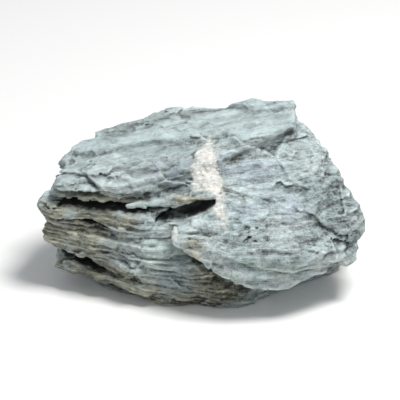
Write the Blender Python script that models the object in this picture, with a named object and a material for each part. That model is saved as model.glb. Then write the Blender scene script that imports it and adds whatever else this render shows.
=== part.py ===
"""A seiryu stone: one block of slaty grey limestone, split along its beds, with a calcite vein.

The stone is worked out as a field, in millimetres, that is negative inside the rock. Blocks between
flat breaks give its form. Beds of uneven thickness step its sides, joint faces cut them off at the
back, fissures open between them, and creases, hollows and swellings are carved on top. OpenVDB,
Blender's own volume library, meshes the field, and a Decimate modifier keeps the ledges with few
triangles. The frame has +Z up, the face with the fissures and the vein towards -Y, and its origin
under the stone, in the plane it rests on.
"""

import itertools

import bmesh
import bpy
import mathutils
import numpy as np
import openvdb

MM = 0.001
GRID = 1.0
TRIANGLES = 8800

# The block of ground that the stone's foot is cut off by, in metres.
GROUND = 0.3

# Blocks between flat breaks, each the hull of its corners.
BLOCKS = {
    "upper_plate": [
        (-76, 3, 64.5), (-48, 32, 70.5), (-17, 42, 74.5), (12, 43, 77.5), (36, 43, 81),
        (52, 35, 81.5), (-79, -17, 61.5), (-53, -28, 64), (-24, -26, 68), (4, -9, 72.5),
        (33, -3, 78.5), (53, 9, 82.5), (-80, -20, 56), (-51, -29, 57), (-27, -28, 57),
        (2, -6, 63.5), (50, 10, 71.5), (40, 38, 62.5), (-50, 28, 54.5),
    ],
    "middle_bed": [
        (-78, -15, 53.5), (-48, -26, 55), (-24, -31, 57.5), (-10, -33, 60), (8, -36, 61.5),
        (8, -10, 64.5), (-14, -8, 61.5), (-76, 6, 58.5), (-46, -28, 50.5), (-24, -31, 50.5),
        (-10, -33, 54), (8, -36, 59), (-77, -15, 49), (0, -10, 48.5),
    ],
    "lower_beds": [
        (-84, -14, 46.5), (-79, -21, 46.5), (-52, -30, 49.5), (-24, -34, 48.5), (-6, -28, 48.5),
        (-78, 10, 50.5), (0, 20, 62.5), (-77, -22, 32.5), (-75, -23, 15.5), (-62, -24, 6.5),
        (-38, -34, 6.5), (-10, -47, 3.5), (14, -45, 3.5), (10, -38, 32.5), (-74, 16, 8.5),
        (10, 10, 6.5),
    ],
    "right_lobe": [
        (2, 0, 70.5), (55, 24, 72.5), (64, 16, 67.5), (77, -1, 56.5), (84, -13, 45.5),
        (87, -30, 31.5), (83, -34, 21.5), (71, -45, 19.5), (59, -53, 17.5), (48, -56, 15.5),
        (26, -58, 16.5), (16, -60, 20.5), (5, -60, 29.5), (-15, -50, 38.5), (-17, -46, 43.5),
        (-14, -41, 45), (10, -38, 57.5), (30, -62, 36.5), (50, -59, 38.5), (42, -37, 57.5),
        (20, -37, 58.5), (76, 10, 32.5), (20, 10, 22.5),
    ],
    "back_left": [
        (-76, 4, 63.5), (-50, 31, 70), (-16, 42, 74), (-2, 10, 71.5), (-76, 6, 32.5),
        (-66, 34, 24.5), (-46, 48, 30.5), (-18, 58, 26.5), (-77, 2, -5.5), (-64, 34, -5.5),
        (-40, 48, -5.5), (18, 52, -5.5), (6, 10, -5.5),
    ],
    "back_right": [
        (-26, 40, 73), (30, 43, 79.5), (52, 35, 73.5), (60, 20, 66.5), (85, -6, 40.5),
        (78, 24, 28.5), (52, 50, 36.5), (10, 56, 46.5), (74, -4, -5.5), (69, 26, -5.5),
        (44, 46, -5.5), (-14, 48, -5.5), (0, 0, 22.5),
    ],
    "core": [
        (-60, -12, 4.5), (-20, -32, 6.5), (20, -36, 16.5), (60, -20, 22.5), (-70, -12, 44.5),
        (-48, -20, 48.5), (-20, -26, 48.5), (6, -30, 52.5), (40, -34, 48.5), (70, -18, 40.5),
        (-66, 0, 59.5), (-44, 20, 63.5), (-14, 32, 66.5), (30, 34, 72.5), (44, 20, 73.5),
        (30, 6, 72.5), (4, 0, 66.5), (-22, -10, 62.5), (-48, -16, 59.5), (-60, 30, 22.5),
        (-20, 46, 22.5), (40, 42, 28.5), (70, 16, 28.5), (-64, 0, -5.5), (-50, 30, -5.5),
        (36, 38, -5.5), (64, 10, -5.5), (0, -30, -5.5), (44, -18, -5.5),
    ],
    "foot": [
        (-72, 0, -5.5), (-60, -14, -5.5), (-44, -19, -5.5), (-34, -34, -5.5), (-8, -43, -5.5),
        (20, -42, -5.5), (44, -26, -5.5), (74, -4, -5.5), (-66, -12, 16.5), (-8, -43, 16.5),
        (22, -41, 18.5), (76, -6, 26.5), (0, 10, 16.5), (0, 10, -5.5),
    ],
}
WORN_EDGE = 1.3
WORN_JOIN = 1.2
NEAR = 11.0

# The beds fan out to the right from one level, dip to the back, sag, and ripple across the grain.
FAN_LEFT = -80.0
FAN_RIGHT = 12.0
FAN_LEVEL = 51.5
FAN_ABOVE = 0.0106
FAN_BELOW = 0.0042
DIP_FROM = -50.0
DIP_BACK = 0.05
GRAIN_TURN = 0.3
SAG = 1.5
SAG_SIZE = 60.0
RIPPLE = 0.7
RIPPLE_SIZE = 10.0
FLAT_ALONG = 0.3

# Beds below and above the top of the fissured part: how many, and how thick.
BED_SEED = 11
PLATE_LEVEL = 56.5
BEDS_BELOW = (20, 2.4, 7.0)
BEDS_ABOVE = (16, 2.5, 4.5)
BED_LEVELLING = 0.9
PARTING_SHARE = 0.2

# Each bed's edge is broken on its own: large and small breaks, by height, size and seed.
BREAKS = ((4.5, 19.0, 13), (2.7, 7.0, 14))
CENTRE = (0, 2)
BREAKS_FROM = (15, 60)
BED_APART = 57.0

# Beds hardly part in the right lobe, between these bounds.
LOBE_PARTING = 0.35
LOBE_LEFT = (-12, 14)
LOBE_TOP = (77.5, 66.5)
LOBE_TOP_SLOPE = 0.05
LOBE_BACK = (35, 15)

# Joint faces that cut the beds off at the back: the way each faces, and how far out it lies.
JOINT_FACES = [
    ((0.1, 0.97, 0.22), 63.5),
    ((-0.7, 0.7, 0.14), 69.0),
    ((0.7, 0.7, -0.12), 60.0),
    ((0.1, 0.85, -0.5), 39.5),
    ((0.9, 0.3, -0.3), 66.0),
    ((-0.85, 0.3, -0.42), 55.5),
]

# Each bed breaks off there at its own distance, and roughly: height, size and seed.
JOINT_STEPS = ((3.0, 17.0, 23),)
JOINT_ROUGHNESS = ((1.2, 12.0, 21), (0.7, 5.0, 22))

# Fissures in the front: points (x, z, half the opening), and how deep they go.
FISSURES = [
    ([(-86, 46, -0.5), (-68, 48, 0.7), (-60, 49, 1.5), (-46, 50, 1.5), (-28, 50.6, 0.9),
      (-12, 51, -0.5)], 18),
    ([(-28, 43, -0.5), (-20, 45.6, 1.2), (-14, 48.3, 2.8), (-6, 51.2, 3.4), (2, 54, 2.8),
      (8, 56.8, 0.5)], 16),
    ([(-84, 22, 0.5), (-72, 20, 2.2), (-58, 17.5, 1.8), (-44, 14.5, -0.5)], 12),
    ([(-70, 42, -0.5), (-60, 41.5, 1.2), (-46, 40, -0.5)], 5),
]
FISSURE_SIDE = (-16, 2)
FISSURE_NARROWING = 4.0
DEEPEST = 24.0

# Creases in the front: points (x, z) of a ledge, how far the rock under it is set back, and how far
# below it that fades out.
CREASES = [
    ([(12, 58.5), (33, 53.5), (52, 47.5), (74, 38.5)], 1.6, 15),
    ([(-8, 35.5), (10, 33.5), (30, 35.5), (52, 31.5), (84, 35.5)], 1.8, 15),
    ([(8, 23.5), (24, 26.5), (46, 22.5), (72, 26.5)], 1.5, 15),
    ([(-72, 55), (-58, 55.8), (-42, 56.2), (-34, 56)], 2.5, 4.2),
]
CREASE_LIP = (-0.8, 1.2)
CREASE_FULL = 2
CREASE_BACK = (-2, -16)
CREASE_ENDS = 12

# How far fissures and creases wander from their points: height, size and seed.
FISSURE_WANDER = (0.8, 11.0, 31)
CREASE_WANDER = (2.5, 15.0, 32)

# The calcite vein stands up in broken lumps: points (y, x) along it, from the front to the back.
VEIN = [(-60, 14), (-40, 12), (-32, 8.7), (-24, 6), (-15, 2.9), (-6, -0.7), (6, 1.5), (22, 6), (50, 10)]
VEIN_HEIGHT = 1.3
VEIN_EDGE = (5, 3)
VEIN_BOTTOM = (49.5, 56.5)
VEIN_BACK = (25, 0)
VEIN_LUMPS = (6.0, 33)

# Hollows: centre and radii.
HOLLOWS = [
    ((48, -26, 64.5), (8, 6, 4)),
    ((-9, -38, 54), (6, 7, 3.5)),
]

# Rounded swellings with creases between them, lower on the plate: height, size and seed.
SWELLINGS = ((2.0, 23.0, 3), (1.2, 10.0, 4))
SWELLING_LEVEL = 0.25
ASKEW = (0.6, 0.4, 0.3)
PLATE_FLATNESS = 0.6
PLATE_BOTTOM = (58.5, 64.5)

COLOUR = (0.33, 0.37, 0.38, 1)
ROUGHNESS = 0.85

LATTICE = 32


def ramp(values, low, high):
    """0 up to low and 1 from high, with a smooth rise between them. Low may be above high."""
    t = np.clip((values - low) / (high - low), 0, 1)
    return t * t * (3 - 2 * t)


def noise(points, size, seed, worn=True):
    """Noise from -1 to 1 whose bumps are about size across, and which is angular unless worn."""
    lattice = np.random.default_rng(seed).uniform(-1, 1, (LATTICE,) * 3)
    cell = np.floor(points / size).astype(int)
    part = points / size - cell
    if worn:
        part = ramp(part, 0, 1)
    total = np.zeros(len(points))
    for corner in itertools.product((0, 1), repeat=3):
        weight = np.where(corner, part, 1 - part).prod(axis=1)
        total += weight * lattice[tuple(((cell + corner) % LATTICE).T)]
    return total


def wander(points, height, size, seed):
    """Noise for lines across the front, which varies slowly with depth and height."""
    return height * noise(points * (1, 0.5, 0.2), size, seed)


def hull_planes(corners):
    """The outward normals of a hull's faces, and how far along them the faces lie."""
    hull = bmesh.new()
    for corner in corners:
        hull.verts.new(corner)
    bmesh.ops.convex_hull(hull, input=hull.verts)
    bmesh.ops.recalc_face_normals(hull, faces=hull.faces)
    hull.normal_update()
    normals = np.array([face.normal for face in hull.faces])
    reach = np.array([face.normal.dot(face.verts[0].co) for face in hull.faces])
    hull.free()
    return normals, reach


def blended(values, radius):
    """The largest of the values at each point, with the crease between two of them rounded."""
    top = np.max(values, axis=0)
    return top + radius * np.log(sum(np.exp((value - top) / radius) for value in values))


def block(points, planes):
    """Negative inside a hull, with its edges worn."""
    return blended([points @ normal - reach for normal, reach in zip(*planes)], WORN_EDGE)


def bed_height(points):
    """How far up through the beds a point is, and how much they have spread by fanning out."""
    x, y, z = points.T
    fan = np.where(z > FAN_LEVEL, FAN_ABOVE, FAN_BELOW)
    spread = 1 + fan * (np.clip(x, FAN_LEFT, FAN_RIGHT) - FAN_LEFT)
    level = FAN_LEVEL + (z - FAN_LEVEL) / spread + DIP_BACK * (y - DIP_FROM)
    grained = points @ np.array(mathutils.Matrix.Rotation(GRAIN_TURN, 3, "Z"))
    level += SAG * noise(grained * (1, 1, FLAT_ALONG), SAG_SIZE, BED_SEED + 1)
    level += RIPPLE * noise(grained * (FLAT_ALONG, 1, FLAT_ALONG), RIPPLE_SIZE, BED_SEED + 4)
    return level, spread


def bed_edges():
    """The heights between the beds, from the lowest up."""
    random = np.random.default_rng(BED_SEED)
    count, thinnest, thickest = BEDS_BELOW
    below = PLATE_LEVEL - np.cumsum(random.uniform(thinnest, thickest, count))
    count, thinnest, thickest = BEDS_ABOVE
    above = PLATE_LEVEL + np.cumsum(random.uniform(thinnest, thickest, count))
    return np.concatenate([below[::-1], [PLATE_LEVEL], above])


def towards_middle(height):
    """How far each height is from its bed's middle, falling to nothing in the parting, and the bed."""
    edges = bed_edges()
    bed = np.clip(np.searchsorted(edges, height), 1, len(edges) - 1)
    thickness = edges[bed] - edges[bed - 1]
    off = (height - edges[bed - 1]) / thickness - 0.5
    in_parting = (0.5 - np.abs(off)) * (0.5 - PARTING_SHARE) / PARTING_SHARE
    return -np.sign(off) * np.minimum(np.abs(off), in_parting) * thickness, bed


def parting(points):
    """How much the beds part: fully, but for the right lobe."""
    x, y, z = points.T
    lobe = ramp(x, *LOBE_LEFT) * ramp(z - LOBE_TOP_SLOPE * x, *LOBE_TOP) * ramp(y, *LOBE_BACK)
    return 1 - (1 - LOBE_PARTING) * lobe


def broken_off(points, breaks):
    """How far breaks of several heights and sizes go in or out, with angular edges."""
    return sum(height * noise(points, size, seed, worn=False) for height, size, seed in breaks)


def in_beds(points, bed):
    """The points with each bed far from the next, so that noise differs from bed to bed."""
    return np.column_stack([points[:, 0], points[:, 1], bed * BED_APART])


def bedded_blocks(points):
    """The blocks, with each bed levelled and its edge broken in or out by its own amount."""
    blocks = [hull_planes(corners) for corners in BLOCKS.values()]
    shape = np.min([(points @ normals.T - reach).max(axis=1) for normals, reach in blocks], axis=0)
    near = np.abs(shape) < NEAR
    points = points[near]
    height, spread = bed_height(points)
    move, bed = towards_middle(height)
    parted = parting(points)
    broken = broken_off(in_beds(points, bed), BREAKS)
    outward = points[:, :2] - CENTRE
    far = np.hypot(*outward.T)[:, None]
    outward *= ramp(far, *BREAKS_FROM) / (far + GRID)
    moved = points.copy()
    moved[:, :2] += outward * (parted * broken)[:, None]
    moved[:, 2] += move * spread * BED_LEVELLING * parted
    shape[near] = -blended([-block(moved, planes) for planes in blocks], WORN_JOIN)
    return shape


def swell(points, shape):
    """Adds the rounded swellings to the points near the surface."""
    near = np.abs(shape) < NEAR
    askew = points[near] @ np.array(mathutils.Euler(ASKEW).to_matrix())
    share = 1 - PLATE_FLATNESS * ramp(points[near, 2], *PLATE_BOTTOM)
    for height, size, seed in SWELLINGS:
        shape[near] -= height * share * (np.abs(noise(askew, size, seed)) - SWELLING_LEVEL)


def crease(points, line, depth, fade):
    """How far the rock under a ledge is set back."""
    x, y, z = points.T
    xs, zs = np.array(line).T
    under = np.interp(x, xs, zs) + wander(points, *CREASE_WANDER) - z
    ends = ramp(x, xs[0] - CREASE_ENDS, xs[0]) * ramp(x, xs[-1] + CREASE_ENDS, xs[-1])
    below = ramp(under, *CREASE_LIP) * ramp(under, fade, CREASE_FULL)
    return depth * ends * below * ramp(y, *CREASE_BACK)


def joint_faces(points):
    """Positive outside the joint faces, which are rough and step a little from bed to bed."""
    ways = np.array([way for way, reach in JOINT_FACES])
    ways /= np.linalg.norm(ways, axis=1)[:, None]
    outside = np.max([points @ way - reach for way, (_, reach) in zip(ways, JOINT_FACES)], axis=0)
    near = np.abs(outside) < NEAR
    points = points[near]
    level, spread = bed_height(points)
    in_bed = in_beds(points, np.searchsorted(bed_edges(), level))
    outside[near] += broken_off(in_bed, JOINT_STEPS) + broken_off(points, JOINT_ROUGHNESS)
    return outside


def vein(points):
    """How far the vein stands up."""
    x, y, z = points.T
    off = np.abs(x - np.interp(y, *np.array(VEIN).T))
    lumps = ramp(noise(points, *VEIN_LUMPS), -0.5, 0.3)
    return VEIN_HEIGHT * lumps * ramp(off, *VEIN_EDGE) * ramp(z, *VEIN_BOTTOM) * ramp(y, *VEIN_BACK)


def fissure(points, shape, line, depth):
    """Positive inside a fissure, which tapers inwards and round the side of the stone."""
    x, y, z = points.T
    xs, zs, halves = np.array(line).T
    middle = np.interp(x, xs, zs) + wander(points, *FISSURE_WANDER)
    half = np.interp(x, xs, halves, left=-NEAR, right=-NEAR) * (1 + shape / depth)
    return half - FISSURE_NARROWING * ramp(y, *FISSURE_SIDE) - np.abs(z - middle)


def carved(points, shape):
    """The bedded blocks, as distances from their surface, with the rest of the relief."""
    shape = shape.copy()
    swell(points, shape)
    for line, depth, fade in CREASES:
        shape += crease(points, line, depth, fade)
    shape -= vein(points)
    shape = np.maximum(shape, joint_faces(points))
    for centre, radii in HOLLOWS:
        hollow = (1 - np.linalg.norm((points - centre) / radii, axis=1)) * min(radii)
        shape = np.maximum(shape, hollow)
    for line, depth in FISSURES:
        shape = np.maximum(shape, fissure(points, shape, line, depth))
    return np.maximum(shape, -GRID - points[:, 2])


def grid_points():
    """Points in steps of the grid, all round the stone and a little under its rest face."""
    corners = np.array([corner for block_corners in BLOCKS.values() for corner in block_corners])
    low = corners.min(axis=0) - NEAR
    low[2] = -4 * GRID
    counts = np.ceil((corners.max(axis=0) + NEAR - low) / GRID).astype(int)
    axes = [start + GRID * np.arange(count) for start, count in zip(low, counts)]
    return np.stack(np.meshgrid(*axes, indexing="ij"), axis=-1), low


def surface(values):
    """The surface where a grid of values is zero, as corners and quads in steps of the grid."""
    grid = openvdb.FloatGrid(float(values.max()))
    grid.copyFromArray(values.astype(np.float32))
    return grid.convertToQuads(0.0)


def distances(values):
    """The distance in millimetres of every grid point from the surface where values is zero."""
    corners, quads = surface(values)
    steps = openvdb.createLinearTransform(1.0)
    grid = openvdb.FloatGrid.createLevelSetFromPolygons(
        corners, quads=quads, transform=steps, halfWidth=DEEPEST / GRID)
    result = np.empty(values.shape, np.float32)
    grid.copyToArray(result)
    return result * GRID


def stone_mesh():
    """The stone in quads the size of the grid."""
    points, low = grid_points()
    flat = points.reshape(-1, 3)
    blocks = distances(bedded_blocks(flat).reshape(points.shape[:3]))
    corners, quads = surface(carved(flat, blocks.reshape(-1)).reshape(points.shape[:3]))
    mesh = bpy.data.meshes.new("stone")
    mesh.from_pydata(((corners * GRID + low) * MM).tolist(), [], quads.tolist())
    return mesh


def drop_hollows(mesh):
    """Keeps only the shell that the top of the stone belongs to."""
    shells = bmesh.new()
    shells.from_mesh(mesh)
    ahead = [max(shells.verts, key=lambda vert: vert.co.z)]
    kept = set(ahead)
    while ahead:
        vert = ahead.pop()
        beside = {edge.other_vert(vert) for edge in vert.link_edges} - kept
        kept |= beside
        ahead.extend(beside)
    bmesh.ops.delete(shells, geom=[vert for vert in shells.verts if vert not in kept], context="VERTS")
    shells.to_mesh(mesh)
    shells.free()


def cut_rest_face(stone):
    """Cuts the stone off flat at the ground."""
    ground = bmesh.new()
    below = mathutils.Matrix.Translation((0, 0, -GROUND / 2))
    bmesh.ops.create_cube(ground, size=GROUND, matrix=below)
    mesh = bpy.data.meshes.new("ground")
    ground.to_mesh(mesh)
    ground.free()
    cutter = bpy.data.objects.new("ground", mesh)
    cutter.hide_render = True
    cutter.display_type = "WIRE"
    bpy.context.collection.objects.link(cutter)
    cut = stone.modifiers.new("Rest face", "BOOLEAN")
    cut.operation = "DIFFERENCE"
    cut.solver = "EXACT"
    cut.object = cutter


def limestone():
    material = bpy.data.materials.new("seiryu limestone")
    material.use_nodes = True
    principled = material.node_tree.nodes["Principled BSDF"]
    principled.inputs["Base Color"].default_value = COLOUR
    principled.inputs["Roughness"].default_value = ROUGHNESS
    principled.inputs["Metallic"].default_value = 0.0
    return material


def main():
    for obj in list(bpy.data.objects):
        bpy.data.objects.remove(obj)
    stone = bpy.data.objects.new("stone", stone_mesh())
    drop_hollows(stone.data)
    stone.data.materials.append(limestone())
    bpy.context.collection.objects.link(stone)
    fewer = stone.modifiers.new("Decimate", "DECIMATE")
    fewer.use_collapse_triangulate = True
    fewer.ratio = TRIANGLES / (2 * len(stone.data.polygons))
    cut_rest_face(stone)


main()
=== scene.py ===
"""A seiryu stone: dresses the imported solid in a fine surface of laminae, cracks, pits and grain.

The solid's own surface is turned into a field of distances, in millimetres, that is negative inside
the rock. The fine relief is worked into that field, which OpenVDB then meshes. What colours the rock
is worked out for each point of the mesh and read by its material.
"""

import itertools
import math

import bpy
import mathutils
import numpy as np
import openvdb
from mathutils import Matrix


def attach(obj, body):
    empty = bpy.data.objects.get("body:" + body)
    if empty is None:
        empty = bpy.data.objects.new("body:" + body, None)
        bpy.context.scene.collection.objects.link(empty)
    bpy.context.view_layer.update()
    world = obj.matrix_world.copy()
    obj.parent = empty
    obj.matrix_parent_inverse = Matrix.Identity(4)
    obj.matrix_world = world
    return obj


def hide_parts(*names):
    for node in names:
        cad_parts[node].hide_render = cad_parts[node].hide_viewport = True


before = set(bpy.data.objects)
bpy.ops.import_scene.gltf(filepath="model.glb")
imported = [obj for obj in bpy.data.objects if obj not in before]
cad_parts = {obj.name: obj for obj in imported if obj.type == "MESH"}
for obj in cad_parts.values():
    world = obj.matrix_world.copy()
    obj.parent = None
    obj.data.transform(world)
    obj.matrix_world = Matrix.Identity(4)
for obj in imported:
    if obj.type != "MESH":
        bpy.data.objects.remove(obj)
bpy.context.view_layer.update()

MM = 0.001

# The grid's step, how many steps of it lie round the stone, how near the surface it is worked, and
# how many triangles its mesh is left with.
GRID = 0.62
MARGIN = 7
NEAR = 3.4
TRIANGLES = 190000

# Over how many grid steps each smoothing reaches: of the solid, of its wide form, and of the
# finished field that the relief is read from.
SMOOTHING = (1, 1)
FORM_SMOOTHING = (2, 3, 4, 5)
RELIEF_SMOOTHING = (1, 2)

# What a line's half width counts as past the line's ends, so that nothing is there.
OUTSIDE = -9

# How far out a blob stays whole, as a share of its radii.
BLOB_CORE = 0.35

# The beds fan out and dip to the back at the solid's rates, and sag and ripple as its beds do, but
# between ends and with sizes of their own.
FAN_LEVEL = 51.5
FAN_ABOVE = 0.0106
FAN_BELOW = 0.0042
FAN_ENDS = (-86, 60)
DIP_BACK = 0.05
DIP_FROM = -50
GRAIN_TURN = 0.3
SAG = (1.5, 34.0, 12)
RIPPLE = (0.8, 7.0, 15)
ALONG = 0.3

# Laminae inside the beds: how many joints bound them, their least and greatest thickness, how far
# their edges break in or out, and how evenly they show.
LAMINA_SEED = 41
LAMINAE = (95, 0.9, 3.6)
LAMINA_LOWEST = -25
LAMINA_JOINT = 0.12
LAMINA_LEVELLING = 0.85
LAMINA_APART = 57.0
LAMINA_BREAKS = ((0.55, 7.0, 42), (0.4, 2.8, 43))
LAMINA_PATCHES = (16.0, 44)
LAMINA_PATCH_STRETCH = (1, 1, 2)
LAMINA_SHOWING = (0.65, 0.5)
LAMINA_WAVES = (0.45, 3.4, 45)
LAMINA_WAVE_STRETCH = 0.5

# The joints between laminae are weathered out in patches, and more so in the left beds' front.
JOINT_DEPTH = 1.1
JOINT_HALF = 0.38
JOINT_PATCHES = (9.0, 46)
JOINT_PATCH_STRETCH = (0.35, 0.35, 1.6)
JOINT_PATCH_RISE = (-0.05, 0.5)
JOINTS_LEFT = 0.7
JOINTS_LEFT_OF = (-6, -30)
JOINTS_BEFORE = (8, -8)

# Streaks that the weather has cut along the grain: height, size and seed.
STREAKS = ((0.45, 2.9, 51), (0.3, 1.4, 52))
STREAK_ALONG = 0.14
STREAK_CUT = 0.4

# Scarps where flakes have come off: height, size, seed, and the number of steps in them.
SCARPS = ((0.8, 13.0, 55, 3.0), (0.45, 5.0, 56, 2.5))
SCARP_FLAT = 0.45
SCARP_RISE = 0.12

# Chips with flat faces, pits and grains, each with a height or depth, size and seed.
CHIPS = ((1.7, 15.0, 65), (1.1, 6.5, 61), (0.6, 2.8, 62))
CHIP_FLAT = (0.5, 0.5, 1)
CHIP_SPREAD = (0.1, 0.9)
GRAINS = (0.16, 1.2, 63)
PITS = (1.3, 1.5, 64)
PIT_CLUSTERS = (0.6, 4.5, 67)
PIT_FLAT = (0.6, 0.9, 1)
PIT_SHARE = (0.3, 0.75)
CRYSTALS = (0.9, 2.2, 66)
CRYSTAL_HEIGHT = 0.2
CRYSTALS_FROM = 0.01

# How much less each kind of relief shows where the rock is smooth.
CALM_LAMINAE = 0.8
CALM_STREAKS = 0.5
CALM_SCARPS = 0.75
CALM_CHIPS = 0.7

# How many points a side the lattices of noise have. It is a power of 2, so that they wrap.
LATTICE = 32


def ramp(values, low, high):
    """0 up to low and 1 from high, with a smooth rise between them. Low may be above high."""
    t = np.clip((values - low) / (high - low), 0, 1)
    return t * t * (3 - 2 * t)


def corner_weights(places, worn):
    """The lattice cell of each place, and how far along it the place is in each direction."""
    cell = np.floor(places)
    part = places - cell
    if worn:
        part = ramp(part, 0, 1)
    return cell.astype(np.int32), part


def between(values, wrapped, cell, part):
    """The values of a lattice at the places, by straight lines between its points."""
    sizes = np.array(values.shape)
    steps = np.array([sizes[1] * sizes[2], sizes[2], 1])
    limit = sizes - 1
    first = cell & limit if wrapped else np.clip(cell, 0, limit - 1)
    second = (cell + 1) & limit if wrapped else first + 1
    first = first * steps
    second = second * steps
    flat = values.ravel()
    x, y, z = part.T
    planes = []
    for along_x in (first[:, 0], second[:, 0]):
        rows = []
        for along_y in (first[:, 1], second[:, 1]):
            start = flat[along_x + along_y + first[:, 2]]
            rows.append(start + (flat[along_x + along_y + second[:, 2]] - start) * z)
        planes.append(rows[0] + (rows[1] - rows[0]) * y)
    return planes[0] + (planes[1] - planes[0]) * x


def noise(points, size, seed, worn=True):
    """Noise from -1 to 1 whose bumps are about size across, and which is angular unless worn."""
    lattice = np.random.default_rng(seed).uniform(-1, 1, (LATTICE,) * 3).astype(np.float32)
    return between(lattice, True, *corner_weights(points / np.float32(size), worn))


def sampled(field, low, points):
    """The field at any points, in millimetres."""
    return between(field, False, *corner_weights((points - low) / np.float32(GRID), False))


def chips(points, size, seed):
    """How high the slanted face round the nearest of scattered middles is, in sizes."""
    random = np.random.default_rng(seed)
    offsets = random.uniform(*CHIP_SPREAD, (LATTICE ** 3, 3)).astype(np.float32)
    slants = random.normal(size=(LATTICE ** 3, 3)).astype(np.float32)
    slants /= np.linalg.norm(slants, axis=1)[:, None]
    places = points / np.float32(size)
    home = np.floor(places).astype(np.int32)
    nearest = np.full(len(points), np.inf, np.float32)
    face = np.zeros(len(points), np.float32)
    for step in itertools.product((-1, 0, 1), repeat=3):
        cell = home + np.array(step, np.int32)
        x, y, z = (cell & (LATTICE - 1)).T
        number = (x * LATTICE + y) * LATTICE + z
        towards = places - cell - offsets[number]
        away = np.einsum("ij,ij->i", towards, towards)
        closer = np.flatnonzero(away < nearest)
        nearest[closer] = away[closer]
        face[closer] = np.einsum("ij,ij->i", towards[closer], slants[number[closer]])
    return face


def stepped(values, steps):
    """Values with flat treads and steep rises between them."""
    scaled = values * steps
    tread = np.floor(scaled)
    return (tread + ramp(scaled - tread, 0.5 - SCARP_RISE, 0.5 + SCARP_RISE) - 0.5) / steps


def grained(points):
    """The points turned so that X runs along the grain."""
    return points @ np.array(mathutils.Matrix.Rotation(GRAIN_TURN, 3, "Z"), np.float32)


def bed_height(points):
    """How far up through the beds a point is, and how much they have spread by fanning out."""
    x, y, z = points.T
    fan = np.where(z > FAN_LEVEL, np.float32(FAN_ABOVE), np.float32(FAN_BELOW))
    spread = 1 + fan * (np.clip(x, *FAN_ENDS) - FAN_ENDS[0])
    level = FAN_LEVEL + (z - FAN_LEVEL) / spread + DIP_BACK * (y - DIP_FROM)
    turned = grained(points)
    height, size, seed = SAG
    level += height * noise(turned * np.float32((1, 1, ALONG)), size, seed)
    height, size, seed = RIPPLE
    level += height * noise(turned * np.float32((ALONG, 1, ALONG)), size, seed)
    return level, spread


def lamina_edges():
    """The levels of the joints between the laminae."""
    random = np.random.default_rng(LAMINA_SEED)
    count, thinnest, thickest = LAMINAE
    return LAMINA_LOWEST + np.cumsum(random.uniform(thinnest, thickest, count)).astype(np.float32)


def towards_middle(level):
    """How far each level is from its lamina's middle, falling to nothing at its joints, and its lamina."""
    edges = lamina_edges()
    lamina = np.clip(np.searchsorted(edges, level), 1, len(edges) - 1)
    thickness = edges[lamina] - edges[lamina - 1]
    off = (level - edges[lamina - 1]) / thickness - 0.5
    in_joint = (0.5 - np.abs(off)) * (0.5 - LAMINA_JOINT) / LAMINA_JOINT
    return -np.sign(off) * np.minimum(np.abs(off), in_joint) * thickness, lamina


def blob(points, centre, radii):
    """1 round the centre, falling to 0 at the radii."""
    away = np.linalg.norm((points - np.float32(centre)) / np.float32(radii), axis=1)
    return ramp(away, 1, BLOB_CORE)


def blobs(points, places):
    """The strongest of the blobs at each point."""
    return np.max([blob(points, centre, radii) for centre, radii in places], axis=0)


def solid_field(node):
    """The distance of each point of a grid from the node's surface, and the grid's lowest corner."""
    mesh = node.data
    mesh.calc_loop_triangles()
    corners = np.empty(len(mesh.vertices) * 3, np.float32)
    mesh.vertices.foreach_get("co", corners)
    corners = corners.reshape(-1, 3) / np.float32(MM)
    triangles = np.empty(len(mesh.loop_triangles) * 3, np.int32)
    mesh.loop_triangles.foreach_get("vertices", triangles)
    low = corners.min(axis=0) - MARGIN * GRID
    counts = np.ceil((corners.max(axis=0) + MARGIN * GRID - low) / GRID).astype(int)
    steps = openvdb.createLinearTransform(1.0)
    grid = openvdb.FloatGrid.createLevelSetFromPolygons(
        (corners - low) / np.float32(GRID), triangles=triangles.reshape(-1, 3), transform=steps,
        halfWidth=MARGIN)
    field = np.empty(counts, np.float32)
    grid.copyToArray(field)
    return field * np.float32(GRID), low.astype(np.float32)


def blurred(field, reaches):
    """The field smoothed along each axis, once for each reach in grid steps."""
    for reach in reaches:
        for axis in range(3):
            field = (np.roll(field, reach, axis) + 2 * field + np.roll(field, -reach, axis)) / 4
    return field


# The calcite vein stands on edge across the plate: points (y, x, half its width) from the front back.
# It is absent where the half width is well below 0, and fainter towards the back.
VEIN = [
    (-47, 13, 0.4), (-43, 12, 1.0), (-39, 10, 2.2), (-32, 9, 3.2), (-29, 7, 5.2), (-24, 5, 7.4),
    (-21, 3.6, 7.8), (-15, 2.5, 6.8), (-11, 2.9, 6.2), (-4, 2.9, 5.6), (3, 4.8, 2.2), (9, 5, -0.2),
    (14, 5.5, -1.5), (40, 10, -1.6),
]
VEIN_BOTTOM = (45, 50)
VEIN_WANDER = ((1.8, 7.0, 71), (1.1, 2.4, 72))
VEIN_CRUMBLE = 0.8
VEIN_STAIN = 3.0
VEIN_FAINT = (-16, 2)
VEIN_FAINTNESS = 0.35

# Where thin calcite shows in a joint: points, and the distances from them between which it fades.
SEAM = [(-15.5, -35, 46.5), (-14, -40, 46), (-13, -45, 44), (-11.5, -48, 38.5)]
SEAM_WIDTH = (2.8, 1.2)
SEAM_ROUGHNESS = (2.6, 75)


def vein_mask(points, edge):
    """1 in the vein, falling to 0 across its edge."""
    x, y, z = points.T
    ys, xs, halves = np.array(VEIN).T
    wander = sum(height * noise(points, size, seed) for height, size, seed in VEIN_WANDER)
    half = np.interp(y, ys, halves, left=OUTSIDE, right=OUTSIDE)
    inside = half - np.abs(x - np.interp(y, ys, xs)) + wander
    strength = ramp(z, *VEIN_BOTTOM) * (1 - VEIN_FAINTNESS * ramp(y, *VEIN_FAINT))
    return (ramp(inside, -edge, edge) * strength).astype(np.float32)


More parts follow.
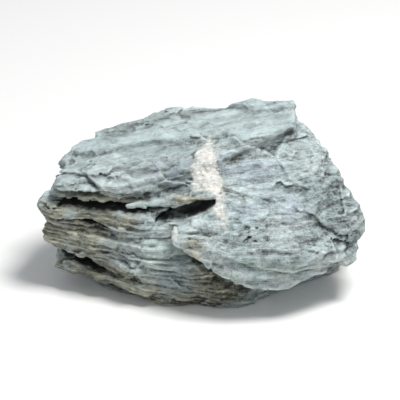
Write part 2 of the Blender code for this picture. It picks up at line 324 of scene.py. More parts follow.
def from_line(points, line):
    """How far each point is from straight lines between the line's points."""
    nearest = np.full(len(points), np.inf, np.float32)
    for start, end in zip(np.float32(line), np.float32(line[1:])):
        run = end - start
        share = np.clip((points - start) @ run / (run @ run), 0, 1)
        nearest = np.minimum(nearest, np.linalg.norm(points - start - share[:, None] * run, axis=1))
    return nearest


def seam_mask(points):
    """1 in the seam."""
    return ramp(from_line(points, SEAM) + noise(points, *SEAM_ROUGHNESS), *SEAM_WIDTH).astype(np.float32)


# Grooves at the foot of the plate's right edge, in the lobe, under it, and under the plate at the
# left: points, depth, width and how much painted shade darkens each. Each is at its full depth over a
# share of its width.
GROOVES = [
    ([(14, -11, 69), (22, -6.5, 70), (30, -3, 71), (38, 2, 73), (46, 7, 75.5), (50, 12, 76)],
     1.4, 3.0, 0.45),
    ([(12, -24, 60.2), (17, -27, 60), (23, -29.3, 59), (30, -30.8, 58), (38, -31.3, 56.5)],
     0.8, 1.8, 0.45),
    ([(-2, -38, 26), (3, -39, 22.7), (9, -39.8, 18.2), (14, -40.4, 14), (24, -38, 8.5)], 1.2, 3.8, 0.45),
    ([(-47, -24, 51.8), (-38, -26.2, 54), (-30, -26.3, 56.4), (-24, -26.6, 57.8)], 1.6, 3.0, 0.85),
]
GROOVE_ROUGHNESS = (0.9, 3.0, 76)
GROOVE_FULL = 0.3


def grooves(points):
    """How deep the grooves are, and how much painted shade darkens them."""
    height, size, seed = GROOVE_ROUGHNESS
    rough = height * noise(points, size, seed)
    deep = np.zeros(len(points), np.float32)
    dark = np.zeros(len(points), np.float32)
    for line, depth, width, painted_shade_amount in GROOVES:
        mask = ramp(from_line(points, line) + rough, width, GROOVE_FULL * width)
        deep = np.maximum(deep, depth * mask)
        dark = np.maximum(dark, painted_shade_amount * mask)
    return deep, dark


# The solid's fissures: points (x, z, half the opening), and how deep they go.
FISSURES = [
    ([(-86, 46, -0.5), (-68, 48, 0.7), (-60, 49, 1.5), (-46, 50, 1.5), (-28, 50.6, 0.9),
      (-12, 51, -0.5)], 18),
    ([(-28, 43, -0.5), (-20, 45.6, 1.2), (-14, 48.3, 2.8), (-6, 51.2, 3.4), (2, 54, 2.8),
      (8, 56.8, 0.5)], 16),
    ([(-84, 22, 0.5), (-72, 20, 2.2), (-58, 17.5, 1.8), (-44, 14.5, -0.5)], 12),
    ([(-70, 42, -0.5), (-60, 41.5, 1.2), (-46, 40, -0.5)], 5),
]
FISSURE_WANDER = (0.8, 11.0, 31)
FISSURE_STRETCH = (1, 0.5, 0.2)
FISSURE_SIDE = (-16, 2)
FISSURE_NARROWING = 4.0
FISSURE_ROUGHNESS = ((0.55, 2.6, 35), (0.3, 1.2, 36))

# Where shade is painted black inside the fissures: how deep their mouths are taken to be, across their
# lips, and in from the form's surface, except round one place.
MOUTH_DEPTH = -2
OPEN_EDGE = (-0.85, -0.4)
OPEN_INSIDE = (0.0, -0.45)
OPEN_FAINT = ((-25, -28, 44.5), (9, 12, 4))


def fissures(points, shape):
    """Positive inside the mouths of the fissures."""
    x, y, z = points.T
    height, size, seed = FISSURE_WANDER
    wander = height * noise(points * np.float32(FISSURE_STRETCH), size, seed)
    inside = np.full(len(points), OUTSIDE, np.float32)
    for line, depth in FISSURES:
        xs, zs, halves = np.array(line).T
        half = np.interp(x, xs, halves, left=OUTSIDE, right=OUTSIDE) * (1 + shape / depth)
        inside = np.maximum(inside, half - np.abs(z - np.interp(x, xs, zs) - wander))
    rough = sum(height * noise(points, size, seed) for height, size, seed in FISSURE_ROUGHNESS)
    return inside + rough - FISSURE_NARROWING * ramp(y, *FISSURE_SIDE)


# Where the rock is smoother, pitted or crumbly: centres and radii. The half smooth places are smooth
# by a share, and the crumbly ones are pitted by one.
SMOOTH = [
    ((30, -22, 62), (44, 26, 20)), ((54, -26, 50), (36, 30, 24)), ((26, -52, 42), (40, 20, 18)),
    ((42, -54, 28), (52, 22, 20)), ((0, 19, 77), (11, 10, 10)),
]
HALF_SMOOTH = [((-14, 8, 72), (60, 40, 14)), ((26, 20, 80), (40, 30, 12)), ((-14, 42, 74), (40, 14, 14))]
PITTED = [((26, -46, 47), (14, 12, 10)), ((-62, -3, 63), (11, 9, 6)), ((8, -50, 47), (9, 8, 7))]
CRUMBLY = [((-62, -4, 63), (18, 13, 8)), ((76, -30, 34), (12, 14, 14)), ((-76, -20, 46), (9, 9, 9))]
HALF_SMOOTH_SHARE = 0.6
CRUMBLY_SHARE = 0.6

# Small ledges across the front: points (x, z), and how far the rock under each is set back.
LEDGES = [
    ([(11, 60.2), (21, 59.1), (33, 56.7), (47, 54.6)], 1.1),
    ([(47, 54.6), (57, 48.8), (71, 38.1)], 1.2),
    ([(40, 60.3), (53, 57.3)], 1.4),
    ([(18, 42.4), (34, 41), (51, 38.9), (68, 33.4), (77, 30.3)], 1.1),
    ([(15, 37.5), (32, 31.6), (47, 28.3), (65, 26.1), (76, 28.7)], 1.2),
    ([(-22, 58), (-14, 59.5), (-8, 61.3)], 1.2),
    ([(-70, 41.5), (-57, 42.2), (-48, 41)], 1.4),
    ([(-60, 37), (-48, 40), (-37, 42)], 1.2),
]
LEDGE_WANDER = ((1.1, 9.0, 73), (0.5, 3.2, 74))
LEDGE_STRETCH = (1, 0.4, 0.2)
LEDGE_LIP = (-0.5, 0.9)
LEDGE_FADE = (7, 1)
LEDGE_FRONT = (-4, -14)
LEDGE_ENDS = 5


def ledges(points):
    """How far the rock under the ledges is set back."""
    x, y, z = points.T
    wander = sum(height * noise(points * np.float32(LEDGE_STRETCH), size, seed, worn=False)
                 for height, size, seed in LEDGE_WANDER)
    deep = np.zeros(len(points), np.float32)
    for line, depth in LEDGES:
        xs, zs = np.array(line).T
        under = np.interp(x, xs, zs) + wander - z
        ends = ramp(x, xs[0] - LEDGE_ENDS, xs[0]) * ramp(x, xs[-1] + LEDGE_ENDS, xs[-1])
        deep = np.maximum(deep, depth * ends * ramp(under, *LEDGE_LIP) * ramp(under, *LEDGE_FADE))
    return deep * ramp(y, *LEDGE_FRONT)


# The lobe is right of, below and before these places, and the plate is above its own. The heights
# rise to the right by the tilt.
TILT = 0.05
LOBE_RIGHT_OF = (-14, 6)
LOBE_BELOW = (77, 67)
LOBE_BEFORE = (30, 12)
PLATE_ABOVE = (58, 64)

# How much less the laminae show in the lobe, on the plate, and behind.
LOBE_LESS = 0.72
PLATE_LESS = 0.25
BEHIND_LESS = 0.5
BEHIND = (5, 30)


def lobe_and_plate(points):
    """How far each point belongs to the right lobe, and to the upper plate."""
    x, y, z = points.T
    tilted = z - TILT * x
    lobe = ramp(x, *LOBE_RIGHT_OF) * ramp(tilted, *LOBE_BELOW) * ramp(y, *LOBE_BEFORE)
    return lobe, ramp(tilted, *PLATE_ABOVE) * (1 - lobe)


def lamination(points):
    """How much the laminae show: fully in the left beds, less on the plate and least in the lobe."""
    y = points[:, 1]
    lobe, plate = lobe_and_plate(points)
    size, seed = LAMINA_PATCHES
    usual, more = LAMINA_SHOWING
    patches = usual + more * noise(points * np.float32(LAMINA_PATCH_STRETCH), size, seed)
    behind = ramp(y, *BEHIND) * (1 - plate)
    return patches * (1 - LOBE_LESS * lobe - PLATE_LESS * plate - BEHIND_LESS * behind)


def joints(level, points, thin):
    """How deep the joints between the laminae are weathered out."""
    edges = lamina_edges()
    lamina = np.clip(np.searchsorted(edges, level), 1, len(edges) - 1)
    off = np.minimum(level - edges[lamina - 1], edges[lamina] - level)
    size, seed = JOINT_PATCHES
    patches = ramp(noise(points * np.float32(JOINT_PATCH_STRETCH), size, seed), *JOINT_PATCH_RISE)
    x, y, _ = points.T
    patches *= 1 + JOINTS_LEFT * ramp(x, *JOINTS_LEFT_OF) * ramp(y, *JOINTS_BEFORE)
    return JOINT_DEPTH * thin * patches * np.exp(-(off / JOINT_HALF) ** 2)


def detailed(field, low):
    """The field with the fine relief worked in."""
    near = np.flatnonzero(np.abs(field.ravel()) < NEAR)
    places = np.stack(np.unravel_index(near, field.shape), axis=1).astype(np.float32)
    points = places * np.float32(GRID) + low
    level, spread = bed_height(points)
    height, size, seed = LAMINA_WAVES
    level += height * noise(points * np.float32(LAMINA_WAVE_STRETCH), size, seed)
    move, lamina = towards_middle(level)
    calm = np.maximum(blobs(points, SMOOTH), HALF_SMOOTH_SHARE * blobs(points, HALF_SMOOTH))
    base = field.ravel()[near]
    vein = np.maximum(vein_mask(points, VEIN_CRUMBLE), seam_mask(points))
    rock = 1 - vein
    thin = lamination(points) * (1 - CALM_LAMINAE * calm) * rock
    moved = points.copy()
    moved[:, 2] += move * spread * LAMINA_LEVELLING * thin
    shape = sampled(field, low, moved)

    in_lamina = points.copy()
    in_lamina[:, 2] = lamina * LAMINA_APART
    broken = sum(depth * noise(in_lamina, size, seed, worn=False) for depth, size, seed in LAMINA_BREAKS)
    shape += thin * broken + joints(level, points, thin)

    turned = grained(points)
    streaked = turned * np.float32((STREAK_ALONG, 1, 1))
    for height, size, seed in STREAKS:
        cut = STREAK_CUT - np.abs(noise(streaked, size, seed))
        shape += height * (1 - CALM_STREAKS * calm) * rock * cut
    flaked = turned * np.float32((SCARP_FLAT, SCARP_FLAT, 1))
    for height, size, seed, steps in SCARPS:
        flakes = stepped(noise(flaked, size, seed, worn=False), steps)
        shape += height * (1 - CALM_SCARPS * calm) * rock * flakes
    for height, size, seed in CHIPS:
        face = chips(turned * np.float32(CHIP_FLAT), size, seed)
        shape += height * (1 - CALM_CHIPS * calm) * rock * face

    depth, size, seed = PITS
    pitted = np.maximum(blobs(points, PITTED), CRUMBLY_SHARE * blobs(points, CRUMBLY))
    pits = noise(turned * np.float32(PIT_FLAT), size, seed)
    height, size, seed = PIT_CLUSTERS
    shape += depth * pitted * rock * ramp(pits + height * noise(points, size, seed), *PIT_SHARE)
    here = np.flatnonzero(vein > CRYSTALS_FROM)
    height, size, seed = CRYSTALS
    face = chips(points[here], size, seed)
    shape[here] -= vein[here] * (CRYSTAL_HEIGHT + height * face)

    shape += ledges(points) + grooves(points)[0]
    height, size, seed = GRAINS
    shape += height * noise(points, size, seed)
    shape = np.maximum(shape, fissures(points, base))
    shape = np.maximum(shape, -points[:, 2])
    result = field.copy()
    result.ravel()[near] = shape
    return result


def largest_shell(corners, quads):
    """The corners and quads of the largest connected shell."""
    label = np.arange(len(corners))
    while True:
        lowest = label[quads].min(axis=1)
        after = label.copy()
        for column in range(4):
            np.minimum.at(after, quads[:, column], lowest)
        after = after[after]
        if (after == label).all():
            break
        label = after
    kept = label == np.bincount(label).argmax()
    number = np.cumsum(kept) - 1
    return corners[kept], number[quads[kept[quads[:, 0]]]]


def stone_mesh(field, low):
    """The field's surface as a mesh."""
    grid = openvdb.FloatGrid(float(field.max()))
    grid.copyFromArray(field)
    corners, quads = grid.convertToQuads(0.0)
    corners, quads = largest_shell(corners, quads.astype(np.int64))
    mesh = bpy.data.meshes.new("rock")
    mesh.from_pydata(((corners * GRID + low) * MM).tolist(), [], quads.tolist())
    return mesh


def thinned(obj, triangles):
    """Applies a Decimate modifier that leaves this many triangles."""
    fewer = obj.modifiers.new("Decimate", "DECIMATE")
    fewer.use_collapse_triangulate = True
    fewer.ratio = min(1.0, triangles / (2 * len(obj.data.polygons)))
    evaluated = obj.evaluated_get(bpy.context.evaluated_depsgraph_get())
    mesh = bpy.data.meshes.new_from_object(evaluated)
    obj.modifiers.clear()
    old = obj.data
    obj.data = mesh
    bpy.data.meshes.remove(old)
    mesh.name = "rock"


# Where the rock is stained brown, or tinted green or lavender: centres and radii.
BROWN = [
    ((-50, -21, 53), (38, 16, 6)), ((-68, -26, 36), (38, 22, 30)), ((-55, -30, 12), (50, 24, 14)),
    ((-46, -30, 46), (26, 14, 8)),
    ((8, -42, 16), (20, 14, 20)), ((-6, -33, 57), (18, 10, 5)), ((-60, 30, 20), (34, 30, 22)),
    ((40, 50, 16), (40, 20, 20)), ((74, 18, 8), (20, 40, 16)), ((-20, -40, 4), (60, 24, 13)),
]
OCHRE = [
    ((-3, -49, 38), (9, 10, 10)), ((16, -40, 10), (14, 12, 9)),
    ((-20, 50, 44), (20, 14, 12)), ((70, 20, 50), (14, 14, 10)),
]
GREEN = [
    ((-22, -32, 54), (18, 12, 7)), ((-26, -38, 30), (30, 16, 20)), ((30, -56, 30), (36, 14, 14)),
    ((-10, 56, 24), (30, 16, 22)), ((60, 34, 40), (26, 20, 22)),
]
LAVENDER = [
    ((-14, -17, 66), (20, 14, 10)), ((28, -14, 68), (34, 18, 12)), ((40, -34, 54), (32, 16, 12)),
    ((0, 44, 60), (34, 16, 14)), ((-74, 10, 48), (14, 22, 14)),
]

# Where the rock is darker, or paler where the amount is below 0: centres, radii and amounts. The
# darkening on the lobe's right side, along the front of the foot and under the lobe is painted shade,
# and the foot is darker towards the ground with painted shade as well.
TONES_AND_PAINTED_SHADE = [
    ((68, -22, 44), (30, 32, 28), 0.28), ((-46, -24, 6), (60, 24, 16), 0.28),
    ((0, -44, 4), (40, 18, 14), 0.28), ((-15, -18, 66), (13, 12, 9), 0.28),
    ((27, -48, 45), (14, 10, 8), 0.28), ((-22, -39, 31), (14, 14, 16), -0.22),
    ((-26, -36, 42), (12, 12, 6), -0.22), ((24, 30, 82), (22, 18, 8), -0.22),
    ((-14, 16, 76), (16, 14, 8), -0.22), ((30, -56, 26), (40, 14, 10), -0.22),
    ((22, -32, 56), (16, 10, 8), -0.18), ((1, -41, 50), (14, 9, 6), -0.5),
]
FOOT = (12, 0)
FOOT_PAINTED_SHADE = 0.2

# Right of here the right fissure's rule holds: its painted shade is black from so far back, and less so
# further back.
RIGHT_FISSURE = (-22, -17)
BLACK_FROM = (-33.5, -31.5)
LESS_FROM = (-25, -19)
LESS_BLACK = 0.75

# How much more the grain shows in the lobe, and less on the plate.
LOBE_CONTRAST = 0.45
PLATE_CONTRAST = 0.3


def painted_shade_in_fissures(points, mouth, form):
    """1 where shade is painted black inside the fissures."""
    x, y, _ = points.T
    left = ramp(form, *OPEN_INSIDE) * (1 - blob(points, *OPEN_FAINT))
    right = ramp(y, *BLACK_FROM) * (1 - LESS_BLACK * ramp(y, *LESS_FROM))
    return mouth * (left + (right - left) * ramp(x, *RIGHT_FISSURE))


def write_attributes(mesh, fine, wide, low):
    """Writes what the material reads: the bed height, relief and the masks of the tints."""
    points = np.empty(len(mesh.vertices) * 3, np.float32)
    mesh.vertices.foreach_get("co", points)
    points = points.reshape(-1, 3) / np.float32(MM)
    normals = np.empty(len(mesh.vertices) * 3, np.float32)
    mesh.vertex_normals.foreach_get("vector", normals)
    level, _ = bed_height(points)
    form = sampled(wide, low, points)
    mouth = ramp(fissures(points, np.float32(MOUTH_DEPTH)), *OPEN_EDGE)
    tones_and_shade = sum(amount * blob(points, centre, radii) for centre, radii, amount in TONES_AND_PAINTED_SHADE)
    lobe, plate = lobe_and_plate(points)
    masks = {
        "level": level,
        "relief": sampled(fine, low, points),
        "form": form,
        "up": normals.reshape(-1, 3)[:, 2],
        "contrast": 1 + LOBE_CONTRAST * lobe - PLATE_CONTRAST * plate,
        "lobe": lobe,
        "groove_painted_shade": grooves(points)[1],
        "vein": vein_mask(points, VEIN_STAIN) * (1 - mouth * ramp(points[:, 1], *BLACK_FROM)),
        "seam": seam_mask(points),
        "fissure_painted_shade": painted_shade_in_fissures(points, mouth, form),
        "brown": blobs(points, BROWN),
        "ochre": blobs(points, OCHRE),
        "green": blobs(points, GREEN),
        "lavender": blobs(points, LAVENDER),
        "shade": tones_and_shade + FOOT_PAINTED_SHADE * ramp(points[:, 2], *FOOT),
    }
    for name, values in masks.items():
        attribute = mesh.attributes.new(name, "FLOAT", "POINT")
        attribute.data.foreach_set("value", np.ascontiguousarray(values, np.float32))


class Nodes:
    """Short ways to add shader nodes."""

    def __init__(self, tree):
        self.tree = tree

    def add(self, kind, inputs=(), **settings):
        node = self.tree.nodes.new(kind)
        for key, value in settings.items():
            setattr(node, key, value)
        for key, value in dict(inputs).items():
            self.put(value, node.inputs[key])
        return node

    def put(self, value, socket):
        if isinstance(value, bpy.types.NodeSocket):
            self.tree.links.new(value, socket)
        else:
            socket.default_value = value

    def math(self, operation, first, second=0.0):
        node = self.add("ShaderNodeMath", {0: first, 1: second}, operation=operation)
        return node.outputs[0]

    def value(self, name):
        return self.add("ShaderNodeAttribute", attribute_name=name).outputs["Fac"]

    def range(self, value, low, high, to_low=0.0, to_high=1.0):
        inputs = {"Value": value, "From Min": low, "From Max": high, "To Min": to_low, "To Max": to_high}
        node = self.add("ShaderNodeMapRange", inputs, interpolation_type="SMOOTHSTEP")
        return node.outputs["Result"]

    def noise(self, vector, scale, detail, rough):
        inputs = {"Vector": vector, "Scale": scale, "Detail": detail, "Roughness": rough}
        return self.add("ShaderNodeTexNoise", inputs).outputs["Fac"]

    def marks(self, vector, noise, ends):
        """Noise that goes from 0 to 1 between the ends, or between the values that follow them."""
        return self.range(self.noise(vector, *noise), *ends)

    def mix(self, factor, first, second, blend="MIX"):
        node = self.add("ShaderNodeMix", data_type="RGBA", blend_type=blend)
        colours = [socket for socket in node.inputs if socket.type == "RGBA"]
        self.put(factor, node.inputs["Factor"])
        self.put(first, colours[0])
        self.put(second, colours[1])
        return next(socket for socket in node.outputs if socket.type == "RGBA")

    def tinted(self, colour, amount, tint):
        """The colour with a tint (its colour and how strongly it covers) over it where amount is 1."""
        over, strength = tint
        return self.mix(self.math("MULTIPLY", amount, strength), colour, over)

    def scaled(self, vector, scale):
        node = self.add("ShaderNodeVectorMath", {0: vector, 1: scale}, operation="MULTIPLY")
        return node.outputs[0]

    def turned(self, vector, angle):
        inputs = {"Vector": vector, "Angle": angle}
        return self.add("ShaderNodeVectorRotate", inputs, rotation_type="Z_AXIS").outputs["Vector"]

    def uneven_noise(self, vector, noise, strength):
        """The strength times how far the noise is from a half."""
        return self.uneven(self.noise(vector, *noise), strength)

    def uneven(self, value, strength):
        """The strength times how far the value is from a half."""
        return self.math("MULTIPLY", self.math("SUBTRACT", value, 0.5), strength)

    def total(self, *values):
        result = values[0]
        for value in values[1:]:
            result = self.math("ADD", result, value)
        return result


# The plain limestone's two greys, and the tints over it: each colour and how strongly it covers.
DARK_GREY = (0.30, 0.36, 0.37, 1)
PALE_GREY = (0.40, 0.44, 0.435, 1)
GREEN_TINT = ((0.32, 0.41, 0.36, 1), 0.5)
MOTTLE_TINT = ((0.30, 0.39, 0.35, 1), 0.4)
# Painted light: the upward faces are paler, as if lit from above.
PAINTED_TOP_LIGHT = ((0.465, 0.56, 0.575, 1), 0.45)
LAVENDER_TINT = ((0.345, 0.405, 0.455, 1), 0.7)

# The stains: the brown is a dark and a pale tan, in bands.
DARK_TAN = (0.148, 0.140, 0.096, 1)
PALE_TAN = (0.415, 0.405, 0.305, 1)
BROWN_STRENGTH = 0.85
OCHRE_TINT = ((0.42, 0.385, 0.27, 1), 0.7)

# The calcite, the lines in it, the stain round it, and the painted shade, black, inside the fissures.
CREAM = (0.93, 0.93, 0.90, 1)
DULL_CREAM = (0.66, 0.64, 0.58, 1)
TAN_LINE = ((0.62, 0.50, 0.38, 1), 0.42)
GREY_LINE = ((0.40, 0.44, 0.43, 1), 0.45)
SEAM_WHITE = (0.80, 0.86, 0.83, 1)
CALCITE_STAIN = ((0.62, 0.62, 0.58, 1), 0.45)
PAINTED_SHADE_INSIDE = ((0.012, 0.011, 0.009, 1), 0.95)

# Noises of the material: their scale for a millimetre, their detail and their roughness.
BROAD = (0.04, 3.0, 0.55)
PATCHES = (0.09, 4.0, 0.55)
MOTTLE = (0.22, 4.0, 0.6)
BROWN_PATCHES = (0.08, 4.0, 0.55)
OCHRE_PATCHES = (0.3, 3.0, 0.55)
BANDS = (0.9, 5.0, 0.65)
FINE_BANDS = (2.2, 3.0, 0.6)
THIN_LINES = (0.5, 2.5, 0.5)
SPECKS = (1.3, 4.0, 0.75)
BLOTCHES = (0.45, 4.0, 0.7)
CLOUDS = (0.15, 3.0, 0.55)
GRAIN_STREAKS = (0.6, 5.0, 0.7)
LOBE_STREAKS = (0.24, 3.0, 0.6)
PALE_STREAKS = (0.35, 4.0, 0.6)
TAN_STREAKS = (0.55, 4.0, 0.6)
GREY_STREAKS = (1.0, 4.0, 0.65)
CRUMBS = (0.5, 4.0, 0.7)
CRUMB_STREAKS = (0.35, 3.0, 0.6)
GRIT = (0.9, 7.0, 0.75)
LAYERS = (1.6, 5.0, 0.7)
SCRATCHES = (0.8, 5.0, 0.7)

# The values between which each tint, stain and line rises from nothing to whole.
BROAD_RISE = (0.35, 0.65)
GREEN_RISE = (0.4, 0.6)
MOTTLE_RISE = (0.52, 0.68)
TOP_RISE = (0.2, 0.9)
LAVENDER_RISE = (0.62, 0.45)
BAND_RISE = (0.4, 0.6)
BROWN_RISE = (0.3, 0.5)
OCHRE_RISE = (0.35, 0.6)
CRYSTAL_RISE = (0.45, 1.0)
TAN_LINE_RISE = (0.5, 0.62)
GREY_LINE_RISE = (0.52, 0.40)
STAIN_RISE = (0.05, 0.5)
CALCITE_RISE = (0.45, 0.75)

# How strongly each noise works in the grain, in the calcite's crumbling edge and in the bumps.
STREAK_GRAIN = 1.1
BAND_GRAIN = 1.0
FINE_BAND_GRAIN = 0.9
SPECK_GRAIN = 1.3
BLOTCH_GRAIN = 0.9
CLOUD_GRAIN = 0.7
LOBE_GRAIN = 1.2
CRUMB_EDGE = 1.5
CRUMB_STREAK_EDGE = 1.3
GRIT_HEIGHT = 1.0
LAYER_HEIGHT = 0.7
SCRATCH_HEIGHT = 0.5

# How flat the beds' noises lie, how large the crystals are, and how deep the bumps are in metres.
BEDDED_ALONG = 0.06
CRYSTAL_SCALE = 0.55
BUMP_DEPTH = 0.0011

# What the tone gains, from and to a value, and from and to a tone, and the least it comes to. The
# darkening in the hollows and the deep places is painted shade.
THIN_LINE_TONE = (0.006, 0.022, -0.26, 0.0)
PALE_STREAK_TONE = (0.56, 0.72, 0.0, 0.3)
PROUD_TONE = (0.0, 0.35, 0.0, 0.35)
HOLLOW_PAINTED_SHADE = (0.0, -0.4, 0.0, -0.45)
DEEP_PAINTED_SHADE = (-1.0, -3.0, 0.0, -0.4)
DARKEST_TONE = 0.12

# The roughness, from and to a value of the specks, and from and to a roughness.
ROUGHNESS = (0.3, 0.7, 0.92, 0.74)


def rock_places(n):
    """Where a point is in millimetres, along the beds, and along the grain."""
    position = n.add("ShaderNodeTexCoord").outputs["Object"]
    in_mm = n.scaled(position, (1 / MM,) * 3)
    apart = n.add("ShaderNodeSeparateXYZ", {"Vector": in_mm})
    bedded = n.add("ShaderNodeCombineXYZ", {
        "X": n.math("MULTIPLY", apart.outputs["X"], BEDDED_ALONG),
        "Y": n.math("MULTIPLY", apart.outputs["Y"], BEDDED_ALONG),
        "Z": n.value("level")}).outputs["Vector"]
    streaked = n.scaled(n.turned(in_mm, -GRAIN_TURN), (STREAK_ALONG, 1, 1))
    return in_mm, bedded, streaked


def limestone(n, in_mm):
    """The colour of the clean rock, with painted light on its upward faces."""
    colour = n.mix(n.marks(in_mm, BROAD, BROAD_RISE), DARK_GREY, PALE_GREY)
    patch = n.noise(in_mm, *PATCHES)
    green = n.math("MULTIPLY", n.value("green"), n.range(patch, *GREEN_RISE))
    colour = n.tinted(colour, green, GREEN_TINT)
    colour = n.tinted(colour, n.marks(in_mm, MOTTLE, MOTTLE_RISE), MOTTLE_TINT)
    # painted light on the upward faces
    colour = n.tinted(colour, n.range(n.value("up"), *TOP_RISE), PAINTED_TOP_LIGHT)
    lavender = n.math("MULTIPLY", n.value("lavender"), n.range(patch, *LAVENDER_RISE))
    return n.tinted(colour, lavender, LAVENDER_TINT)


def stained(n, colour, in_mm, bands):
    """The colour with its brown and ochre stains."""
    tan = n.mix(n.range(bands, *BAND_RISE), DARK_TAN, PALE_TAN)
    brown = n.math("MULTIPLY", n.value("brown"), n.marks(in_mm, BROWN_PATCHES, BROWN_RISE))
    colour = n.tinted(colour, brown, (tan, BROWN_STRENGTH))
    ochre = n.math("MULTIPLY", n.value("ochre"), n.marks(in_mm, OCHRE_PATCHES, OCHRE_RISE))
    return n.tinted(colour, ochre, OCHRE_TINT)


def rock_tone(n, in_mm, bedded, streaked, bands, specks):
    """What the colour is multiplied by: grain, lines, tones with painted shade, and paler ridges over
    hollows darkened with painted shade.
    """
    grain = n.total(
        n.uneven_noise(streaked, GRAIN_STREAKS, STREAK_GRAIN),
        n.uneven(bands, BAND_GRAIN),
        n.uneven_noise(bedded, FINE_BANDS, FINE_BAND_GRAIN),
        n.uneven(specks, SPECK_GRAIN),
        n.uneven_noise(in_mm, BLOTCHES, BLOTCH_GRAIN),
        n.uneven_noise(in_mm, CLOUDS, CLOUD_GRAIN))
    tone = n.total(
        1.0,
        n.math("MULTIPLY", grain, n.value("contrast")),
        n.math("MULTIPLY", n.uneven_noise(streaked, LOBE_STREAKS, LOBE_GRAIN), n.value("lobe")),
        # darker and paler tones of the rock, with painted shade on the lobe's right side, at the foot and
        # under the lobe
        n.math("MULTIPLY", n.value("shade"), -1.0),
        # painted shade in the grooves
        n.math("MULTIPLY", n.value("groove_painted_shade"), -1.0),
        n.range(n.math("ABSOLUTE", n.uneven_noise(bedded, THIN_LINES, 1.0)), *THIN_LINE_TONE),
        n.marks(streaked, PALE_STREAKS, PALE_STREAK_TONE),
        n.range(n.value("relief"), *PROUD_TONE),
        # painted shade in the hollows and the deep places of the form
        n.range(n.value("relief"), *HOLLOW_PAINTED_SHADE),
        n.range(n.value("form"), *DEEP_PAINTED_SHADE))
    return n.math("MAXIMUM", tone, DARKEST_TONE)


def with_calcite(n, colour, in_mm, streaked):
    """The colour with the vein and the seam over it, crumbling into it at their edges."""
    crystals = n.add("ShaderNodeTexVoronoi", {"Vector": in_mm, "Scale": CRYSTAL_SCALE})
    cream = n.mix(n.range(crystals.outputs["Distance"], *CRYSTAL_RISE), CREAM, DULL_CREAM)
    cream = n.tinted(cream, n.marks(streaked, TAN_STREAKS, TAN_LINE_RISE), TAN_LINE)
    cream = n.tinted(cream, n.marks(streaked, GREY_STREAKS, GREY_LINE_RISE), GREY_LINE)
    cream = n.mix(n.value("seam"), cream, SEAM_WHITE)
    calcite = n.math("MAXIMUM", n.value("vein"), n.value("seam"))
    crumbs = n.total(
        n.uneven_noise(in_mm, CRUMBS, CRUMB_EDGE),
        n.uneven_noise(streaked, CRUMB_STREAKS, CRUMB_STREAK_EDGE))
    crumbled = n.math("ADD", calcite, crumbs)
    colour = n.tinted(colour, n.range(crumbled, *STAIN_RISE), CALCITE_STAIN)
    return n.mix(n.range(crumbled, *CALCITE_RISE), colour, cream)


def rock_material():
    material = bpy.data.materials.new("seiryu limestone")
    material.use_nodes = True
    tree = material.node_tree
    tree.nodes.clear()
    n = Nodes(tree)
    in_mm, bedded, streaked = rock_places(n)
    bands = n.noise(bedded, *BANDS)
    specks = n.noise(in_mm, *SPECKS)
    colour = stained(n, limestone(n, in_mm), in_mm, bands)
    tone = rock_tone(n, in_mm, bedded, streaked, bands, specks)
    colour = n.mix(1.0, colour, tone, "MULTIPLY")
    colour = with_calcite(n, colour, in_mm, streaked)
    # painted shade, black, inside the fissures
    colour = n.tinted(colour, n.value("fissure_painted_shade"), PAINTED_SHADE_INSIDE)
    height = n.total(
        n.uneven_noise(in_mm, GRIT, GRIT_HEIGHT),
        n.uneven_noise(bedded, LAYERS, LAYER_HEIGHT),
        n.uneven_noise(streaked, SCRATCHES, SCRATCH_HEIGHT))
    bump = n.add("ShaderNodeBump", {"Strength": 1.0, "Distance": BUMP_DEPTH, "Height": height})
    surface = n.add("ShaderNodeBsdfPrincipled", {
        "Base Color": colour, "Roughness": n.range(specks, *ROUGHNESS), "Metallic": 0.0, "IOR": 1.5,
        "Normal": bump.outputs["Normal"]})
    n.add("ShaderNodeOutputMaterial", {"Surface": surface.outputs["BSDF"]})
    return material


def plain_material(name, colour, roughness):
    material = bpy.data.materials.new(name)
    material.use_nodes = True
    principled = material.node_tree.nodes["Principled BSDF"]
    principled.inputs["Base Color"].default_value = colour
    principled.inputs["Roughness"].default_value = roughness
    return material


def add_stone():
    field, low = solid_field(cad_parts["stone"])
    field = blurred(field, SMOOTHING)
    wide = blurred(field, FORM_SMOOTHING)
    field = detailed(field, low)
    mesh = stone_mesh(field, low)
    rock = bpy.data.objects.new("rock", mesh)
    bpy.context.collection.objects.link(rock)
    thinned(rock, TRIANGLES)
    write_attributes(rock.data, blurred(field, RELIEF_SMOOTHING), wide, low)
    rock.data.shade_smooth()
    rock.data.materials.append(rock_material())
    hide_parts("stone")
    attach(rock, "root")


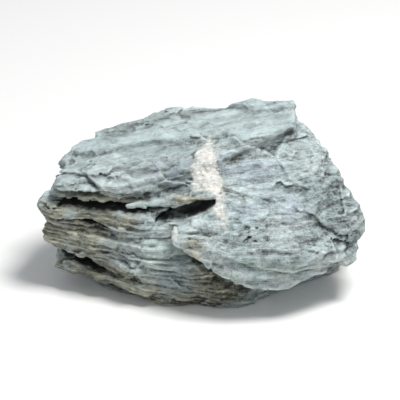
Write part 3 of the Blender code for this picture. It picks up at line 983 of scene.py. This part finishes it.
# The floor, the light that is everywhere, and the lamps: place, size, power and colour.
FLOOR_HALF = 3.0
FLOOR_COLOUR = (0.88, 0.88, 0.87, 1)
FLOOR_ROUGHNESS = 0.7
SKY_COLOUR = (0.93, 0.97, 1.0, 1)
SKY_STRENGTH = 0.42
LAMPS = {
    "key": ((0.32, -0.12, 1.0), 0.35, 11, (1.0, 0.99, 0.97)),
    "fill": ((-0.6, -0.9, 0.5), 0.8, 1.2, (0.93, 0.97, 1.0)),
}

# The camera looks at the stone's middle from the front and above, far enough away to look flat.
STONE_MIDDLE = (0, -0.005, 0.0435)
VIEW_ELEVATION = math.radians(28)
VIEW_DISTANCE = 1.5
VIEW_WIDTH = 0.2088
SENSOR = 36


def add_floor():
    mesh = bpy.data.meshes.new("floor")
    half = FLOOR_HALF
    corners = [(-half, -half, 0), (half, -half, 0), (half, half, 0), (-half, half, 0)]
    mesh.from_pydata(corners, [], [(0, 1, 2, 3)])
    floor = bpy.data.objects.new("floor", mesh)
    mesh.materials.append(plain_material("floor", FLOOR_COLOUR, FLOOR_ROUGHNESS))
    bpy.context.collection.objects.link(floor)


def aim(obj, place, target):
    obj.location = place
    towards = mathutils.Vector(target) - mathutils.Vector(place)
    obj.rotation_euler = towards.to_track_quat("-Z", "Y").to_euler()


def add_light(name, place, size, power, colour):
    light = bpy.data.lights.new(name, "AREA")
    light.size = size
    light.energy = power
    light.color = colour
    obj = bpy.data.objects.new(name, light)
    bpy.context.collection.objects.link(obj)
    aim(obj, place, STONE_MIDDLE)


def add_camera():
    camera = bpy.data.objects.new("camera", bpy.data.cameras.new("camera"))
    camera.data.sensor_width = SENSOR
    camera.data.lens = SENSOR * VIEW_DISTANCE / VIEW_WIDTH
    bpy.context.collection.objects.link(camera)
    back = mathutils.Vector((0, -math.cos(VIEW_ELEVATION), math.sin(VIEW_ELEVATION)))
    aim(camera, mathutils.Vector(STONE_MIDDLE) + back * VIEW_DISTANCE, STONE_MIDDLE)
    bpy.context.scene.camera = camera


def add_lights():
    world = bpy.data.worlds.new("studio")
    world.use_nodes = True
    background = world.node_tree.nodes["Background"]
    background.inputs["Color"].default_value = SKY_COLOUR
    background.inputs["Strength"].default_value = SKY_STRENGTH
    bpy.context.scene.world = world
    for name, (place, size, power, colour) in LAMPS.items():
        add_light(name, place, size, power, colour)
    bpy.context.scene.view_settings.view_transform = "Standard"


add_stone()
add_floor()
add_camera()
add_lights()
